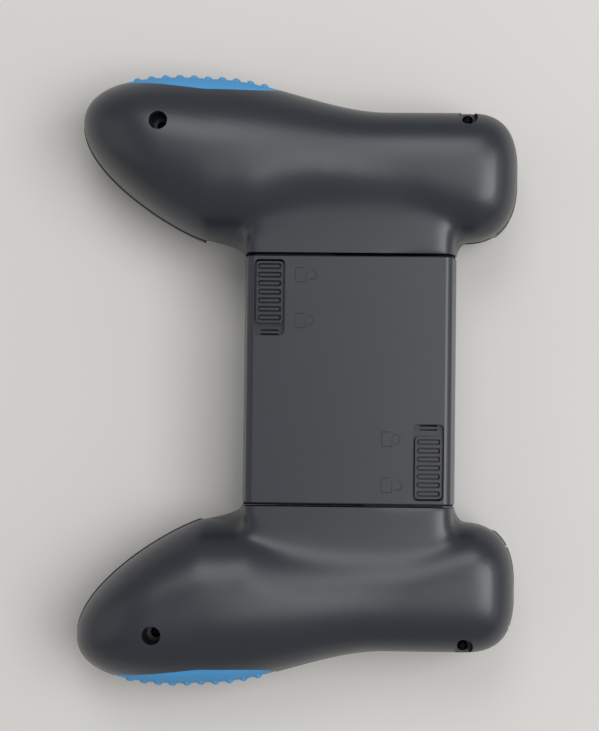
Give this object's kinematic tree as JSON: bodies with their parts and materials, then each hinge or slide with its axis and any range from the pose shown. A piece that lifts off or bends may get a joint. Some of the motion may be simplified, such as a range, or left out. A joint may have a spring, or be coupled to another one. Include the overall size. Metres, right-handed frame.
{
  "type": "mobile game controller",
  "caption": "Telescopic phone gamepad with two contoured grips on a sliding centre box, ribbed lock sliders on its back and rubber grip inserts.",
  "frame": {"origin": "middle of the bounding box, at the level of the stick caps that the controller rests on", "axes": "+X towards the left-hand grip, +Y towards the top edge with the shoulder keys, +Z out of the back"},
  "size_m": [0.1668, 0.1186, 0.039],
  "materials": {
    "charcoal_shell": "fine matt texture",
    "graphite_plastic": "satin",
    "blue_rubber": "matt",
    "black_rubber": "matt",
    "steel": "plain",
    "circuit_board": "coated",
    "cell_foil": "foil"
  },
  "bodies": {
    "centre": {"centre_back_cover": "charcoal_shell", "centre_tray": "charcoal_shell", "phone_rest_pad": "blue_rubber", "tray_screws": "steel", "right_lock_bridge": "graphite_plastic", "left_lock_bridge": "graphite_plastic"},
    "right_grip": {"right_back_shell": "charcoal_shell", "right_front_shell": "charcoal_shell", "right_grip_insert": "blue_rubber", "right_jaw_pad": "blue_rubber", "right_slide_tongue": "graphite_plastic", "right_case_screws": "steel", "right_circuit_board": "circuit_board", "right_battery": "cell_foil", "right_key_membrane": "black_rubber", "right_charging_port": "steel", "right_stick_module": "graphite_plastic", "right_shoulder_pin": "steel"},
    "left_grip": {"left_back_shell": "charcoal_shell", "left_front_shell": "charcoal_shell", "left_grip_insert": "blue_rubber", "left_jaw_pad": "blue_rubber", "left_slide_tongue": "graphite_plastic", "left_case_screws": "steel", "left_circuit_board": "circuit_board", "left_battery": "cell_foil", "left_key_membrane": "black_rubber", "left_charging_port": "steel", "left_stick_module": "graphite_plastic", "left_shoulder_pin": "steel"},
    "right_lock": {"right_lock_slider": "graphite_plastic"},
    "right_pawl": {"right_lock_pawl": "steel"},
    "right_gimbal": {"right_stick_gimbal": "steel"},
    "right_stick": {"right_stick_stem": "graphite_plastic", "right_stick_cap": "black_rubber"},
    "right_bumper_key": {"right_bumper": "graphite_plastic"},
    "right_trigger_key": {"right_trigger": "graphite_plastic"},
    "left_lock": {"left_lock_slider": "graphite_plastic"},
    "left_pawl": {"left_lock_pawl": "steel"},
    "left_gimbal": {"left_stick_gimbal": "steel"},
    "left_stick": {"left_stick_stem": "graphite_plastic", "left_stick_cap": "black_rubber"},
    "left_bumper_key": {"left_bumper": "graphite_plastic"},
    "left_trigger_key": {"left_trigger": "graphite_plastic"},
    "face_1_key": {"face_button_1": "graphite_plastic"},
    "face_2_key": {"face_button_2": "graphite_plastic"},
    "face_3_key": {"face_button_3": "graphite_plastic"},
    "face_4_key": {"face_button_4": "graphite_plastic"},
    "start_key": {"start_button": "graphite_plastic"},
    "home_key": {"home_button": "graphite_plastic"},
    "select_key": {"select_button": "graphite_plastic"},
    "mode_key": {"mode_button": "graphite_plastic"},
    "dpad_rocker": {"dpad_pivot": "steel"},
    "dpad_key": {"dpad_cross": "graphite_plastic"}
  },
  "joints": [
    {"name": "right_grip_slide", "type": "slide", "parent": "centre", "child": "right_grip", "axis": [-1, 0, 0], "range_m": [0, 0.042]},
    {"name": "right_lock_slide", "type": "slide", "parent": "centre", "child": "right_lock", "axis": [1, 0, 0], "range_m": [0, 0.0028]},
    {"name": "right_pawl_drop", "type": "slide", "parent": "centre", "child": "right_pawl", "axis": [0, 0, -1], "range_m": [0, 0.0014]},
    {"name": "right_stick_up_down", "type": "hinge", "parent": "right_grip", "child": "right_gimbal", "pos_m": [-0.056, 0.004, 0.0165], "axis": [1, 0, 0], "range_deg": [-14, 14], "stiffness_Nm_per_rad": 0.05},
    {"name": "right_stick_left_right", "type": "hinge", "parent": "right_gimbal", "child": "right_stick", "pos_m": [-0.056, 0.004, 0.0165], "axis": [0, 1, 0], "range_deg": [-14, 14], "stiffness_Nm_per_rad": 0.05},
    {"name": "right_bumper_swing", "type": "hinge", "parent": "right_grip", "child": "right_bumper_key", "pos_m": [-0.047, 0.053, 0.0185], "axis": [0, 0, 1], "range_deg": [0, 5], "stiffness_Nm_per_rad": 0.3, "springref_deg": -2.29},
    {"name": "right_trigger_swing", "type": "hinge", "parent": "right_grip", "child": "right_trigger_key", "pos_m": [-0.047, 0.053, 0.0185], "axis": [0, 0, 1], "range_deg": [0, 5], "stiffness_Nm_per_rad": 0.3, "springref_deg": -2.29},
    {"name": "left_grip_slide", "type": "slide", "parent": "centre", "child": "left_grip", "axis": [1, 0, 0], "range_m": [0, 0.042]},
    {"name": "left_lock_slide", "type": "slide", "parent": "centre", "child": "left_lock", "axis": [-1, 0, 0], "range_m": [0, 0.0028]},
    {"name": "left_pawl_drop", "type": "slide", "parent": "centre", "child": "left_pawl", "axis": [0, 0, -1], "range_m": [0, 0.0014]},
    {"name": "left_stick_up_down", "type": "hinge", "parent": "left_grip", "child": "left_gimbal", "pos_m": [0.056, 0.004, 0.0165], "axis": [1, 0, 0], "range_deg": [-14, 14], "stiffness_Nm_per_rad": 0.05},
    {"name": "left_stick_left_right", "type": "hinge", "parent": "left_gimbal", "child": "left_stick", "pos_m": [0.056, 0.004, 0.0165], "axis": [0, 1, 0], "range_deg": [-14, 14], "stiffness_Nm_per_rad": 0.05},
    {"name": "left_bumper_swing", "type": "hinge", "parent": "left_grip", "child": "left_bumper_key", "pos_m": [0.047, 0.053, 0.0185], "axis": [0, 0, -1], "range_deg": [0, 5], "stiffness_Nm_per_rad": 0.3, "springref_deg": -2.29},
    {"name": "left_trigger_swing", "type": "hinge", "parent": "left_grip", "child": "left_trigger_key", "pos_m": [0.047, 0.053, 0.0185], "axis": [0, 0, -1], "range_deg": [0, 5], "stiffness_Nm_per_rad": 0.3, "springref_deg": -2.29},
    {"name": "face_1_press", "type": "slide", "parent": "right_grip", "child": "face_1_key", "axis": [0, 0, 1], "range_m": [0, 0.0009], "stiffness_N_per_m": 800, "springref_m": -0.0006},
    {"name": "face_2_press", "type": "slide", "parent": "right_grip", "child": "face_2_key", "axis": [0, 0, 1], "range_m": [0, 0.0009], "stiffness_N_per_m": 800, "springref_m": -0.0006},
    {"name": "face_3_press", "type": "slide", "parent": "right_grip", "child": "face_3_key", "axis": [0, 0, 1], "range_m": [0, 0.0009], "stiffness_N_per_m": 800, "springref_m": -0.0006},
    {"name": "face_4_press", "type": "slide", "parent": "right_grip", "child": "face_4_key", "axis": [0, 0, 1], "range_m": [0, 0.0009], "stiffness_N_per_m": 800, "springref_m": -0.0006},
    {"name": "start_press", "type": "slide", "parent": "right_grip", "child": "start_key", "axis": [0, 0, 1], "range_m": [0, 0.0009], "stiffness_N_per_m": 800, "springref_m": -0.0006},
    {"name": "home_press", "type": "slide", "parent": "right_grip", "child": "home_key", "axis": [0, 0, 1], "range_m": [0, 0.0009], "stiffness_N_per_m": 800, "springref_m": -0.0006},
    {"name": "select_press", "type": "slide", "parent": "left_grip", "child": "select_key", "axis": [0, 0, 1], "range_m": [0, 0.0009], "stiffness_N_per_m": 800, "springref_m": -0.0006},
    {"name": "mode_press", "type": "slide", "parent": "left_grip", "child": "mode_key", "axis": [0, 0, 1], "range_m": [0, 0.0009], "stiffness_N_per_m": 800, "springref_m": -0.0006},
    {"name": "dpad_up_down", "type": "hinge", "parent": "left_grip", "child": "dpad_rocker", "pos_m": [0.0553, 0.033, 0.0115], "axis": [1, 0, 0], "range_deg": [-4, 4], "stiffness_Nm_per_rad": 0.3},
    {"name": "dpad_left_right", "type": "hinge", "parent": "dpad_rocker", "child": "dpad_key", "pos_m": [0.0553, 0.033, 0.0115], "axis": [0, 1, 0], "range_deg": [-4, 4], "stiffness_Nm_per_rad": 0.3}
  ],
  "couplings": [
    {"joint": "right_pawl_drop", "follows": "right_lock_slide", "ratio": 0.5},
    {"joint": "left_pawl_drop", "follows": "left_lock_slide", "ratio": 0.5}
  ]
}
